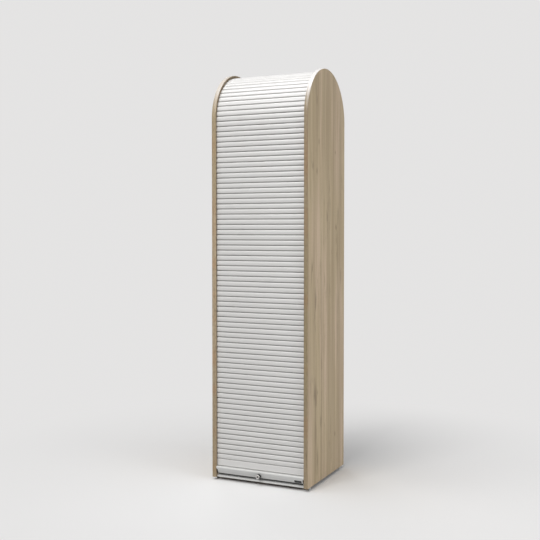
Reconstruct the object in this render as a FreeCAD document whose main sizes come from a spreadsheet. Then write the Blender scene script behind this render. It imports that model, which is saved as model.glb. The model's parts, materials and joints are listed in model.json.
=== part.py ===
import FreeCAD, Part
import math
import os

import Sketcher

# Tall cabinet with a half-round top and a tambour door that runs in tracks routed into its sides.
# Frame: +Z up from the floor, the door faces -Y, the origin is under the middle of the cabinet.

# Driving dimensions in millimetres: name, value, meaning
DIMENSIONS = (
    ("width", 480, "over both side panels"),
    ("depth", 460, "front to back, and the diameter of the half-round top"),
    ("height", 1905, "floor to the crown of the arch"),
    ("side_board", 19, "thickness of the side panels"),
    ("inner_board", 16, "thickness of the base, top and shelves"),
    ("edge_band", 1, "thickness of the edge banding"),
    ("sill_height", 9, "front edge of the base, under its rebate"),
    ("sill_depth", 9, "rebate in the base, front to back"),
    ("glide_height", 13.5, "floor to the underside of the boards"),
    ("glide_radius", 9, "floor glide"),
    ("glide_sole", 7.2, "radius of the glide where it meets the floor"),
    ("glide_inset", 40, "glide centre from the front or back edge"),
    ("glide_pin_radius", 2, "nail of the floor glide"),
    ("glide_pin_length", 12, "nail of the floor glide"),
    ("slat_pitch", 23.7, "one tambour slat and its joint"),
    ("slat_thickness", 8, "slat at its crown"),
    ("slat_face", 7.3, "slat where its shoulders begin"),
    ("slat_edge", 3.8, "slat at its upper and lower edges"),
    ("slat_shoulder", 4.6, "height of a slat's round shoulder"),
    ("shoulder_bulge", 0.66, "arc of the shoulder above its chord"),
    ("slat_joint", 0.8, "open joint between two slats"),
    ("lap_height", 4, "lip of a slat behind the next one"),
    ("lap_thickness", 1.6, "lip of a slat"),
    ("lap_play", 1, "room around the lip"),
    ("slat_setback", 12, "crown of the slats behind the edges of the side panels"),
    ("track_depth", 9, "routed track"),
    ("track_play", 0.8, "track wall to slat"),
    ("track_end_play", 0.9, "slat end to the floor of the track"),
    ("stop_gap", 3.5, "lead bar above the base when the door is shut"),
    ("stop_play", 0.3, "end caps above the rubber stops"),
    ("stop_radius", 3.5, "rubber stop"),
    ("bar_height", 32.4, "lead bar"),
    ("bar_foot", 8.6, "thickness of the lead bar at its lower edge"),
    ("lip_reach", 19.5, "nose of the lead bar in front of the curtain's back"),
    ("lip_height", 11.4, "nose of the lead bar"),
    ("lip_round", 2.6, "rounding of the nose"),
    ("bar_belly", 14.6, "thickness of the lead bar halfway up its leaning front"),
    ("belly_height", 11, "that place above the lower edge"),
    ("bar_tongue", 12, "tongue of the lead bar behind the lead slat"),
    ("cap_thickness", 3, "end cap of the lead bar"),
    ("cap_play", 0.5, "end cap to side panel"),
    ("lead_slat_height", 33.4, "flat slat above the lead bar"),
    ("lead_slat_face", 6.6, "thickness of the flat slat"),
    ("screw_spacing", 130, "screws that join lead bar and flat slat"),
    ("screw_edge", 20, "least distance of those screws from the ends of the lead bar"),
    ("screw_radius", 1.5, "those screws"),
    ("screw_length", 4.6, "those screws, under the head"),
    ("screw_head", 3, "radius of their heads"),
    ("screw_head_height", 1.6, "their heads"),
    ("cam_screw_head", 4.9, "radius of the screw that holds the locking cam"),
    ("lock_height", 10.7, "lock axis above the lower edge of the lead bar"),
    ("lock_radius", 9.5, "lock barrel"),
    ("lock_reach", 34, "front of the lock before the curtain's back"),
    ("lock_tail", 10, "lock barrel behind the curtain's back"),
    ("lock_chamfer", 1, "front edge of the barrel"),
    ("lock_play", 0.2, "barrel in the lead bar"),
    ("plug_radius", 5.5, "turning core of the lock"),
    ("plug_play", 0.05, "core in the barrel"),
    ("plug_proud", 0.6, "core before the barrel"),
    ("keyway_width", 1.6, "key slot"),
    ("keyway_height", 7, "key slot"),
    ("keyway_depth", 9, "key slot"),
    ("nut_radius", 12.8, "lock nut over its corners"),
    ("nut_height", 4, "lock nut"),
    ("shank", 7, "square end of the core"),
    ("shank_length", 3, "square end of the core"),
    ("cam_thickness", 2.5, "locking cam"),
    ("cam_boss", 8, "radius of the cam round the core"),
    ("cam_reach", 24, "cam tip from the lock axis"),
    ("cam_tip", 5, "radius of the cam tip"),
    ("cam_play", 0.3, "cam to barrel and to its screw"),
    ("strike_length", 48, "strike plate in the base"),
    ("strike_width", 16, "strike plate"),
    ("strike_thickness", 1.5, "strike plate"),
    ("strike_play", 2, "room for the cam in its slot"),
    ("cover_thickness", 3, "back panel behind the curtain's return"),
    ("cover_inset", 5, "back panel from the rear edges"),
    ("cover_rise", 20, "back panel above the springing of the arch"),
    ("cover_lift", 4, "back panel above the foot of the side panels"),
    ("lining_thickness", 4, "inner back panel"),
    ("lining_gap", 6, "inner back panel to the curtain's return"),
    ("panel_groove", 5, "depth of the grooves for both back panels"),
    ("groove_play", 0.2, "back panels in their grooves"),
    ("ceiling_drop", 22, "underside of the inner top below the springing of the arch"),
    ("ceiling_setback", 6, "front of the inner top behind the curtain"),
    ("shelf_setback", 24, "front of the shelves behind the curtain"),
    ("shelf_play", 0.8, "shelf to side panel and to the inner back"),
    ("pin_radius", 2.5, "shelf pin"),
    ("pin_reach", 8.5, "shelf pin inside the cabinet"),
    ("pin_seat", 9.5, "shelf pin in its hole"),
    ("pin_play", 0.1, "shelf pin in its hole"),
    ("pin_inset", 36, "shelf pin from the front or back of the shelf"),
    ("hole_step", 32, "spacing of the shelf pin holes"),
    ("fitting_span", 130, "cam fittings from the middle of the board"),
    ("fitting_inset", 34, "cam fitting from the end of the board"),
    ("fitting_radius", 7.5, "cam fitting"),
    ("fitting_height", 12, "cam fitting"),
    ("bolt_radius", 3.2, "bolt of a cam fitting"),
    ("bolt_seat", 11, "bolt in the side panel"),
    ("dowel_span", 98, "wood dowels from the middle of the board"),
    ("dowel_radius", 4, "wood dowel"),
    ("dowel_seat", 10, "wood dowel in the side panel"),
    ("dowel_reach", 20, "wood dowel in the board"),
    ("bore_play", 0.2, "fasteners in their bores"),
)
SHELF_COUNT = 4
SECTION_COUNT = 22
HOLES_PER_PIN = 3
SIDES = (("left", -1), ("right", 1))

doc = FreeCAD.newDocument("tambour_cabinet")
sheet = doc.addObject("Spreadsheet::Sheet", "dims")
for row, (alias, size, meaning) in enumerate(DIMENSIONS, start=1):
    sheet.set(f"A{row}", meaning)
    sheet.set(f"B{row}", str(size))
    sheet.setAlias(f"B{row}", alias)
doc.recompute()

# Places worked out from the driving dimensions, as expressions on the sheet
RADIUS = "(dims.depth / 2)"
SPRINGING = "(dims.height - dims.depth / 2)"
INSIDE = "(dims.width / 2 - dims.side_board)"
BASE_TOP = "(dims.glide_height + dims.inner_board)"
CURTAIN_BACK = "(dims.depth / 2 - dims.slat_setback - dims.slat_thickness)"
SLAT_HALF = f"({INSIDE} + dims.track_depth - dims.track_end_play)"
REBATE = "(dims.lap_thickness + dims.lap_play)"
BAR_FOOT = f"({BASE_TOP} + dims.stop_gap)"
BAR_TOP = f"({BAR_FOOT} + dims.bar_height)"
CURTAIN_FOOT = f"({BAR_TOP} + dims.lead_slat_height)"
BAR_HALF = f"({INSIDE} - dims.cap_play - dims.cap_thickness)"
LOCK_Z = f"({BAR_FOOT} + dims.lock_height)"
CAM_Y = f"(dims.lock_tail - {CURTAIN_BACK} + dims.cam_play)"
CEILING = f"({SPRINGING} - dims.ceiling_drop)"
LINING_FACE = f"({CURTAIN_BACK} - dims.lining_gap - dims.lining_thickness)"
SHELF_FRONT = f"(dims.shelf_setback - {CURTAIN_BACK})"
SHELF_BACK = f"({LINING_FACE} - dims.shelf_play)"
CLEAR = f"(({CEILING} - {BASE_TOP} - {SHELF_COUNT} * dims.inner_board) / {SHELF_COUNT + 1})"
PIN_Z = f"({BASE_TOP} + {CLEAR} - dims.pin_radius)"
SHELF_STEP = f"({CLEAR} + dims.inner_board)"
PIN_ROWS = (
    f"({SHELF_FRONT} + dims.pin_inset)",
    f"({SHELF_BACK} - dims.pin_inset)",
)
BOARD_LEVELS = (("base", "dims.glide_height"), ("top", CEILING))

parts = []


def value(expression):
    """The size in millimetres that an expression on the sheet gives."""
    return float(sheet.evalExpression(expression))


def keep(item, label):
    """Names a finished sub-part and puts it on the list of pieces."""
    item.Label = label
    parts.append(item)
    return item


def place(item, x="0", y="0", z="0"):
    """Ties a sub-part's position to the sheet."""
    for axis, expression in zip("xyz", (x, y, z)):
        item.setExpression(f"Placement.Base.{axis}", expression)
    return item


def origin_feature(body, role):
    return next(item for item in body.Origin.OriginFeatures if item.Role == role)


def new_sketch(body, plane, offset=None):
    """A sketch on one of the body's origin planes, moved along the plane's normal by offset."""
    sketch = body.newObject("Sketcher::SketchObject", f"{body.Name}_sketch")
    sketch.AttachmentSupport = [(origin_feature(body, plane), "")]
    sketch.MapMode = "FlatFace"
    if offset:
        sketch.setExpression("AttachmentOffset.Base.z", offset)
    return sketch


def pin_down(sketch, geometry, position, x, y):
    """Ties one point of a sketch to the sheet."""
    for kind, expression in (("DistanceX", x), ("DistanceY", y)):
        rule = Sketcher.Constraint(kind, -1, 1, geometry, position, value(expression))
        index = sketch.addConstraint(rule)
        sketch.setExpression(f"Constraints[{index}]", expression)


def add_arc(sketch, first, middle, last):
    """An arc through three points, and the numbers of its first and last ends."""
    through = Part.Circle(first, middle, last)
    circle = Part.Circle(through.Center, FreeCAD.Vector(0, 0, 1), through.Radius)
    leftward = (middle - first).cross(last - first).z > 0
    ends = (first, last) if leftward else (last, first)
    angles = [circle.parameter(end) for end in ends]
    geometry = sketch.addGeometry(Part.ArcOfCircle(circle, *angles))
    return geometry, (1, 2) if leftward else (2, 1)


def outline(sketch, corners):
    """A closed outline. A corner marked with True is the middle of an arc between its neighbours."""
    spots = [FreeCAD.Vector(value(corner[0]), value(corner[1])) for corner in corners]
    ends = [index for index, corner in enumerate(corners) if len(corner) == 2]
    edges = []
    for order, index in enumerate(ends):
        after = ends[(order + 1) % len(ends)]
        if len(corners[(index + 1) % len(corners)]) == 3:
            middle = index + 1
            geometry, sense = add_arc(sketch, spots[index], spots[middle], spots[after])
            guide = sketch.addGeometry(Part.Point(spots[middle]), True)
            pin_down(sketch, guide, 1, *corners[middle][:2])
            sketch.addConstraint(Sketcher.Constraint("PointOnObject", guide, 1, geometry))
        else:
            geometry = sketch.addGeometry(Part.LineSegment(spots[index], spots[after]))
            sense = (1, 2)
        edges.append((geometry, sense))
        pin_down(sketch, geometry, sense[0], *corners[index])
    for order, (geometry, sense) in enumerate(edges):
        other, other_sense = edges[(order + 1) % len(edges)]
        rule = Sketcher.Constraint("Coincident", geometry, sense[1], other, other_sense[0])
        sketch.addConstraint(rule)
    return sketch


def rectangle(sketch, low_x, low_y, high_x, high_y):
    return outline(sketch, [(low_x, low_y), (high_x, low_y), (high_x, high_y), (low_x, high_y)])


def circle(sketch, x, y, radius):
    centre = FreeCAD.Vector(value(x), value(y))
    round_edge = Part.Circle(centre, FreeCAD.Vector(0, 0, 1), value(radius))
    geometry = sketch.addGeometry(round_edge)
    pin_down(sketch, geometry, 3, x, y)
    index = sketch.addConstraint(Sketcher.Constraint("Radius", geometry, value(radius)))
    sketch.setExpression(f"Constraints[{index}]", radius)


def new_body(label):
    return keep(doc.addObject("PartDesign::Body", label), label)


def pad(body, sketch, length, both_ways=False, backwards=False):
    feature = body.newObject("PartDesign::Pad", f"{body.Name}_pad")
    feature.Profile = sketch
    feature.setExpression("Length", length)
    feature.Midplane = both_ways
    feature.Reversed = backwards
    doc.recompute()
    return feature


def pocket(body, sketch, depth, backwards):
    """A pocket that has to take material away."""
    before = body.Shape.Volume
    feature = body.newObject("PartDesign::Pocket", f"{body.Name}_pocket")
    feature.Profile = sketch
    feature.setExpression("Length", depth)
    feature.Reversed = backwards
    doc.recompute()
    if body.Shape.Volume >= before:
        raise ValueError(f"{feature.Name} cuts nothing")
    return feature


def repeat(body, feature, kind, direction, step, count):
    """A linear or polar pattern of one feature, a step apart."""
    pattern = body.newObject(f"PartDesign::{kind}Pattern", f"{body.Name}_pattern")
    pattern.Originals = [feature]
    if kind == "Polar":
        pattern.Axis = direction
    else:
        pattern.Direction = direction
    pattern.Mode = "Spacing"
    pattern.Occurrences = count
    pattern.setExpression("Offset", step)
    body.Tip = pattern
    doc.recompute()
    return pattern


def box(size, corner):
    """A block, by expressions for its size and its lowest corner."""
    item = doc.addObject("Part::Box", "block")
    for name, expression in zip(("Length", "Width", "Height"), size):
        item.setExpression(name, expression)
    return place(item, *corner)


TURNS = {
    "x": FreeCAD.Rotation(FreeCAD.Vector(0, 1, 0), 90),
    "y": FreeCAD.Rotation(FreeCAD.Vector(1, 0, 0), -90),
    "z": FreeCAD.Rotation(),
}


def rod(radius, length, start, along="z"):
    """A round bar from its start towards +X, +Y or +Z."""
    item = doc.addObject("Part::Cylinder", "rod")
    item.setExpression("Radius", radius)
    item.setExpression("Height", length)
    item.Placement.Rotation = TURNS[along]
    return place(item, *start)


def join(items):
    item = doc.addObject("Part::MultiFuse", "joined")
    item.Shapes = items
    return item


def cut(blank, tools):
    item = doc.addObject("Part::Cut", "cut")
    item.Base = blank
    item.Tool = join(tools) if len(tools) > 1 else tools[0]
    return item


def group(label, items):
    """Separate like pieces that share one node."""
    item = doc.addObject("Part::Compound", label)
    item.Links = items
    return keep(item, label)


def minus(expression):
    return f"(-1 * {expression})"


def arch(inset, foot, back_foot=None):
    """The cabinet's side outline moved inwards by inset, from the front foot round to the back foot."""
    reach = f"({RADIUS} - {inset})"
    return [
        (minus(reach), foot),
        (minus(reach), SPRINGING),
        ("0", f"{SPRINGING} + {reach}", True),
        (reach, SPRINGING),
        (reach, back_foot or foot),
    ]


def ribbon(outer, inner, foot, back_foot):
    """A strip that follows the arch between two insets."""
    return arch(outer, foot, back_foot) + arch(inner, foot, back_foot)[::-1]


def side_panel(name, side):
    """A board with the arched outline, the curtain track and every bore on its inner face."""
    body = new_body(f"{name}_side_panel")
    inwards = side < 0
    face = outline(new_sketch(body, "YZ_Plane"), arch("dims.edge_band", "dims.glide_height"))
    pad(body, face, "dims.side_board", backwards=inwards)

    track_outer = "(dims.slat_setback - dims.track_play)"
    track_inner = "(dims.slat_setback + dims.slat_thickness + dims.track_play)"
    track = ribbon(track_outer, track_inner, BASE_TOP, "dims.glide_height")
    pocket(body, outline(new_sketch(body, "YZ_Plane"), track), "dims.track_depth", not inwards)

    grooves = new_sketch(body, "YZ_Plane")
    rectangle(
        grooves,
        f"{LINING_FACE} - dims.groove_play",
        BASE_TOP,
        f"{LINING_FACE} + dims.lining_thickness + dims.groove_play",
        CEILING,
    )
    rectangle(
        grooves,
        f"{RADIUS} - dims.cover_inset - dims.cover_thickness - dims.groove_play",
        "dims.glide_height + dims.cover_lift",
        f"{RADIUS} - dims.cover_inset + dims.groove_play",
        f"{SPRINGING} + dims.cover_rise",
    )
    pocket(body, grooves, "dims.panel_groove", not inwards)

    rows = new_sketch(body, "YZ_Plane")
    for row_y in PIN_ROWS:
        for index in range(HOLES_PER_PIN):
            step = index - HOLES_PER_PIN // 2
            hole_z = f"{PIN_Z} + {step} * dims.hole_step"
            circle(rows, row_y, hole_z, "dims.pin_radius + dims.pin_play")
    holes = pocket(body, rows, "dims.pin_seat + dims.pin_play", not inwards)
    repeat(body, holes, "Linear", (rows, ["V_Axis"]), SHELF_STEP, SHELF_COUNT)

    bores = new_sketch(body, "YZ_Plane")
    for _, foot in BOARD_LEVELS:
        for way in (-1, 1):
            middle = f"{foot} + dims.inner_board / 2"
            circle(bores, f"{way} * dims.fitting_span", middle, "dims.bolt_radius + dims.bore_play")
            circle(bores, f"{way} * dims.dowel_span", middle, "dims.dowel_radius + dims.bore_play")
    pocket(body, bores, "dims.bolt_seat + dims.bore_play", not inwards)

    nails = new_sketch(body, "XY_Plane", "dims.glide_height")
    for way in (-1, 1):
        nail_y = f"{way} * ({RADIUS} - dims.glide_inset)"
        nail_x = f"{side} * dims.side_board / 2"
        circle(nails, nail_x, nail_y, "dims.glide_pin_radius + dims.bore_play")
    pocket(body, nails, "dims.glide_pin_length + dims.bore_play", True)
    return place(body, f"{side} * {INSIDE}")


def edge_band(name, side):
    """Banding in the panel's own decor round its front, arch and back edges."""
    body = new_body(f"{name}_edge_band")
    strip = ribbon("0", "dims.edge_band", "dims.glide_height", "dims.glide_height")
    sketch = outline(new_sketch(body, "YZ_Plane"), strip)
    pad(body, sketch, "dims.side_board", backwards=side < 0)
    return place(body, f"{side} * {INSIDE}")


def fitting_corners():
    """Both ends of a board, front and back."""
    return [(side, way) for _, side in SIDES for way in (-1, 1)]


def board_bores(foot, from_below):
    """Bores for cam fittings, their bolts and wood dowels in the base or the inner top."""
    tools = []
    middle = f"{foot} + dims.inner_board / 2"
    deep = "(dims.fitting_height + dims.bore_play)"
    bore_foot = foot if from_below else f"{foot} + dims.inner_board - {deep}"
    for side, way in fitting_corners():
        cam_x = f"{side} * ({INSIDE} - dims.fitting_inset)"
        cam_y = f"{way} * dims.fitting_span"
        tools.append(rod("dims.fitting_radius + dims.bore_play", deep, (cam_x, cam_y, bore_foot)))
        start = cam_x if side > 0 else minus(INSIDE)
        tools.append(
            rod("dims.bolt_radius + dims.bore_play", "dims.fitting_inset", (start, cam_y, middle), "x")
        )
        dowel_deep = "(dims.dowel_reach + dims.bore_play)"
        start = f"{INSIDE} - {dowel_deep}" if side > 0 else minus(INSIDE)
        dowel_y = f"{way} * dims.dowel_span"
        tools.append(rod("dims.dowel_radius + dims.bore_play", dowel_deep, (start, dowel_y, middle), "x"))
    return tools


def strike_slot():
    """Width and place of the slot that the cam drops into, along X and Y."""
    low_x = "(-1 * dims.cam_tip - dims.strike_play)"
    long_x = "(dims.cam_tip + dims.cam_reach + dims.strike_play)"
    low_y = f"({CAM_Y} - dims.strike_play)"
    long_y = "(dims.cam_thickness + 2 * dims.strike_play)"
    return low_x, long_x, low_y, long_y


def strike_box(play, height, foot):
    """The strike plate's place in the base, grown by play."""
    low_x, long_x, low_y, long_y = strike_slot()
    corner = (
        f"{low_x} + {long_x} / 2 - dims.strike_length / 2 - {play}",
        f"{low_y} + {long_y} / 2 - dims.strike_width / 2 - {play}",
        foot,
    )
    return box((f"dims.strike_length + 2 * {play}", f"dims.strike_width + 2 * {play}", height), corner)


def base_panel():
    """Floor of the cabinet, with a rebated front edge and the slot for the locking cam."""
    front = minus(f"({RADIUS} - dims.slat_setback)")
    long_y = f"{RADIUS} - dims.slat_setback + {LINING_FACE} + dims.lining_thickness"
    blank = box((f"2 * {INSIDE}", long_y, "dims.inner_board"), (minus(INSIDE), front, "dims.glide_height"))
    step = "(dims.inner_board - dims.sill_height)"
    sill = (minus(INSIDE), front, f"{BASE_TOP} - {step}")
    rebate = box((f"2 * {INSIDE}", "dims.sill_depth", step), sill)
    low_x, long_x, low_y, slot_y = strike_slot()
    slot_foot = f"({LOCK_Z} - dims.cam_reach - dims.strike_play)"
    slot = box((long_x, slot_y, f"{BASE_TOP} - {slot_foot}"), (low_x, low_y, slot_foot))
    seat = strike_box("dims.bore_play", "dims.strike_thickness", f"{BASE_TOP} - dims.strike_thickness")
    return keep(cut(blank, board_bores("dims.glide_height", True) + [rebate, slot, seat]), "base_panel")


def strike_plate():
    plate = strike_box("0", "dims.strike_thickness", f"{BASE_TOP} - dims.strike_thickness")
    low_x, long_x, low_y, long_y = strike_slot()
    foot = f"{BASE_TOP} - 2 * dims.strike_thickness"
    hole = box((long_x, long_y, "3 * dims.strike_thickness"), (low_x, low_y, foot))
    return keep(cut(plate, [hole]), "strike_plate")


def top_panel():
    """Ceiling of the cabinet, under the arch."""
    front = f"(dims.ceiling_setback - {CURTAIN_BACK})"
    long_y = f"{LINING_FACE} + dims.lining_thickness - {front}"
    blank = box((f"2 * {INSIDE}", long_y, "dims.inner_board"), (minus(INSIDE), front, CEILING))
    return keep(cut(blank, board_bores(CEILING, False)), "top_panel")


def shelf(index):
    level = f"{BASE_TOP} + {CLEAR} + {index} * {SHELF_STEP}"
    half = f"({INSIDE} - dims.shelf_play)"
    size = (f"2 * {half}", f"{SHELF_BACK} - {SHELF_FRONT}", "dims.inner_board")
    return keep(box(size, (minus(half), SHELF_FRONT, level)), f"shelf_{index + 1}")


def shelf_pins():
    pins = []
    for index in range(SHELF_COUNT):
        for _, side in SIDES:
            for row_y in PIN_ROWS:
                start = f"{INSIDE} - dims.pin_reach" if side > 0 else f"-1 * {INSIDE} - dims.pin_seat"
                spot = (start, row_y, f"{PIN_Z} + {index} * {SHELF_STEP}")
                pins.append(rod("dims.pin_radius", "dims.pin_reach + dims.pin_seat", spot, "x"))
    return group("shelf_pins", pins)


def inner_back():
    """Thin lining between the shelves and the curtain's return run."""
    half = f"({INSIDE} + dims.panel_groove - dims.groove_play)"
    size = (f"2 * {half}", "dims.lining_thickness", f"{CEILING} - {BASE_TOP}")
    return keep(box(size, (minus(half), LINING_FACE, BASE_TOP)), "inner_back")


def rear_cover():
    """Thin back panel behind the curtain's return run."""
    half = f"({INSIDE} + dims.panel_groove - dims.groove_play)"
    foot = "(dims.glide_height + dims.cover_lift)"
    rise = f"{SPRINGING} + dims.cover_rise - {foot} - dims.groove_play"
    back = f"{RADIUS} - dims.cover_inset - dims.cover_thickness"
    size = (f"2 * {half}", "dims.cover_thickness", rise)
    return keep(box(size, (minus(half), back, foot)), "rear_cover")


def floor_glides():
    glides = []
    for side, way in fitting_corners():
        x = f"{side} * ({INSIDE} + dims.side_board / 2)"
        y = f"{way} * ({RADIUS} - dims.glide_inset)"
        foot = doc.addObject("Part::Cone", "foot")
        foot.setExpression("Radius1", "dims.glide_sole")
        foot.setExpression("Radius2", "dims.glide_radius")
        foot.setExpression("Height", "dims.glide_height")
        nail = rod("dims.glide_pin_radius", "dims.glide_pin_length", (x, y, "dims.glide_height"))
        glides.append(join([place(foot, x, y), nail]))
    return group("floor_glides", glides)


def door_stops():
    """Rubber stops at the foot of the tracks, under the lead bar's end caps."""
    stops = []
    for _, side in SIDES:
        x = f"{side} * ({INSIDE} + dims.track_depth / 2)"
        y = f"-1 * ({CURTAIN_BACK} + dims.slat_thickness / 2)"
        tall = f"{BAR_TOP} - dims.lip_height - dims.stop_play - {BASE_TOP}"
        stops.append(rod("dims.stop_radius", tall, (x, y, BASE_TOP)))
    return group("door_stops", stops)


def board_fasteners():
    """Cam fittings with their bolts, and wood dowels, at the ends of the base and the inner top."""
    cams = []
    bolts = []
    dowels = []
    for board, foot in BOARD_LEVELS:
        middle = f"{foot} + dims.inner_board / 2"
        cam_foot = foot if board == "base" else f"{foot} + dims.inner_board - dims.fitting_height"
        for side, way in fitting_corners():
            cam_x = f"{side} * ({INSIDE} - dims.fitting_inset)"
            cam_y = f"{way} * dims.fitting_span"
            cams.append(rod("dims.fitting_radius", "dims.fitting_height", (cam_x, cam_y, cam_foot)))
            reach = "(dims.fitting_inset - dims.fitting_radius - 2 * dims.bore_play)"
            start = f"{INSIDE} - {reach}" if side > 0 else f"-1 * {INSIDE} - dims.bolt_seat"
            bolts.append(rod("dims.bolt_radius", f"dims.bolt_seat + {reach}", (start, cam_y, middle), "x"))
            start = f"{INSIDE} - dims.dowel_reach" if side > 0 else f"-1 * {INSIDE} - dims.dowel_seat"
            dowel_y = f"{way} * dims.dowel_span"
            long_x = "dims.dowel_seat + dims.dowel_reach"
            dowels.append(rod("dims.dowel_radius", long_x, (start, dowel_y, middle), "x"))
    group("cam_fittings", cams)
    group("cam_bolts", bolts)
    group("wood_dowels", dowels)


def shoulder(face, start, way):
    """The round shoulder of a slat from its edge to its face, as (out, up). way is -1 at the upper edge."""
    bulge_out = f"(dims.slat_edge + {face}) / 2 + 0.8 * dims.shoulder_bulge"
    bulge_up = f"{start} + {way} * (dims.slat_shoulder / 2 - 0.6 * dims.shoulder_bulge)"
    return [
        ("dims.slat_edge", start),
        (bulge_out, bulge_up, True),
        (face, f"{start} + {way} * dims.slat_shoulder"),
    ]


def slat_section(back, foot):
    """A crowned slat with round shoulders in section, and a lip that laps behind the slat above.

    back and foot are where the section's back face and its lower joint lie in the sketch."""

    def corner(out, up, on_arc=False):
        spot = (f"-1 * ({back}) - ({out})", f"({foot}) + ({up})")
        return spot + (True,) if on_arc else spot

    low = "dims.slat_joint / 2"
    high = "dims.slat_pitch - dims.slat_joint / 2"
    rebate_top = f"{low} + dims.lap_height + dims.lap_play"
    return [
        corner(REBATE, low),
        *[corner(*spot) for spot in shoulder("dims.slat_face", low, 1)],
        corner("dims.slat_thickness", "dims.slat_pitch / 2", True),
        *[corner(*spot) for spot in reversed(shoulder("dims.slat_face", high, -1))],
        corner("dims.lap_thickness", high),
        corner("dims.lap_thickness", f"{high} + dims.lap_height"),
        corner("0", f"{high} + dims.lap_height"),
        corner("0", rebate_top),
        corner(REBATE, rebate_top),
    ]


def curtain_numbers():
    """How many whole slats stand on the straight front, and the straight length left above them."""
    run = value(SPRINGING) - value(CURTAIN_FOOT)
    pitch = value("dims.slat_pitch")
    count = int(run // pitch)
    return count, run - count * pitch


def front_slats(count):
    """The slats of the straight front, shared out over sections that are numbered from the top down."""
    for index in range(SECTION_COUNT):
        first = index * count // SECTION_COUNT
        after = (index + 1) * count // SECTION_COUNT
        body = new_body(f"slats_{SECTION_COUNT - index:02d}")
        sketch = outline(new_sketch(body, "YZ_Plane"), slat_section("0", "0"))
        feature = pad(body, sketch, f"2 * {SLAT_HALF}", both_ways=True)
        repeat(body, feature, "Linear", (sketch, ["V_Axis"]), "dims.slat_pitch", after - first)
        place(body, "0", minus(CURTAIN_BACK), f"{CURTAIN_FOOT} + {first} * dims.slat_pitch")


def arch_slats(straight_left):
    """One slat that turns into the bend, and the slats that follow the arch to the back."""
    pitch = value("dims.slat_pitch")
    half_thickness = "dims.slat_thickness / 2"
    path_radius = value(f"{CURTAIN_BACK} + {half_thickness}")
    start = (pitch - straight_left) / path_radius
    step = 2 * math.asin(pitch / 2 / path_radius)
    springing = value(SPRINGING)

    turning = new_body("turning_slat")
    section = slat_section(f"-1 * {half_thickness}", "-1 * dims.slat_pitch / 2")
    sketch = outline(new_sketch(turning, "YZ_Plane"), section)
    pad(turning, sketch, f"2 * {SLAT_HALF}", both_ways=True)
    lower = FreeCAD.Vector(0, -path_radius, springing - straight_left)
    upper = FreeCAD.Vector(0, -path_radius * math.cos(start), springing + path_radius * math.sin(start))
    lean = math.atan2(upper.y - lower.y, upper.z - lower.z)
    turn = FreeCAD.Rotation(FreeCAD.Vector(-1, 0, 0), math.degrees(lean))
    turning.Placement = FreeCAD.Placement((lower + upper) / 2, turn)

    bend = new_body("arch_slats")
    chord_radius = path_radius * math.cos(step / 2)
    section = slat_section(f"{chord_radius} - {half_thickness}", "-1 * dims.slat_pitch / 2")
    sketch = outline(new_sketch(bend, "YZ_Plane"), section)
    feature = pad(bend, sketch, f"2 * {SLAT_HALF}", both_ways=True)
    count = math.ceil((math.pi - start) / step)
    axis = (origin_feature(bend, "X_Axis"), [""])
    pattern = repeat(bend, feature, "Polar", axis, str(math.degrees(step)), count)
    pattern.Reversed = True
    turn = FreeCAD.Rotation(FreeCAD.Vector(-1, 0, 0), math.degrees(start + step / 2))
    bend.Placement = FreeCAD.Placement(FreeCAD.Vector(0, 0, springing), turn)


def screw_places():
    """As many evenly spaced screws as the lead bar has room for."""
    room = 2 * value(f"{BAR_HALF} - dims.screw_edge")
    count = 1 + int(room // value("dims.screw_spacing"))
    return [f"{index - (count - 1) / 2} * dims.screw_spacing" for index in range(count)]


def screw_holes(body, height, depth):
    sketch = new_sketch(body, "XZ_Plane")
    for x in screw_places():
        circle(sketch, x, height, "dims.screw_radius + dims.bore_play")
    pocket(body, sketch, depth, True)


def nose(foot):
    """The rounded nose of the lead bar, from its underside to its top edge."""
    low = f"{foot} + dims.bar_height - dims.lip_height"
    high = f"{foot} + dims.bar_height - dims.slat_joint"
    return [
        (minus("(dims.lip_reach - dims.lip_round / 2)"), low),
        (minus("dims.lip_reach"), f"{high} - dims.lip_height / 2", True),
        (minus("(dims.lip_reach - dims.lip_round)"), high),
    ]


def lead_bar():
    """Grip along the foot of the curtain, whose front leans back under its nose."""
    body = new_body("lead_bar")
    tongue = minus("dims.lap_thickness")
    belly = (minus("dims.bar_belly"), "dims.belly_height", True)
    corners = [("0", "0"), (minus("dims.bar_foot"), "0"), belly]
    corners += nose("0")
    corners += [
        (tongue, "dims.bar_height - dims.slat_joint / 2"),
        (tongue, "dims.bar_height + dims.bar_tongue"),
        ("0", "dims.bar_height + dims.bar_tongue"),
    ]
    sketch = outline(new_sketch(body, "YZ_Plane"), corners)
    pad(body, sketch, f"2 * {BAR_HALF}", both_ways=True)
    bore = new_sketch(body, "XZ_Plane")
    circle(bore, "0", "dims.lock_height", "dims.lock_radius + dims.lock_play")
    pocket(body, bore, "dims.lip_reach", True)
    screw_holes(body, "dims.bar_height + dims.bar_tongue / 2", "2 * dims.lap_thickness")
    return place(body, "0", minus(CURTAIN_BACK), BAR_FOOT)


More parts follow.
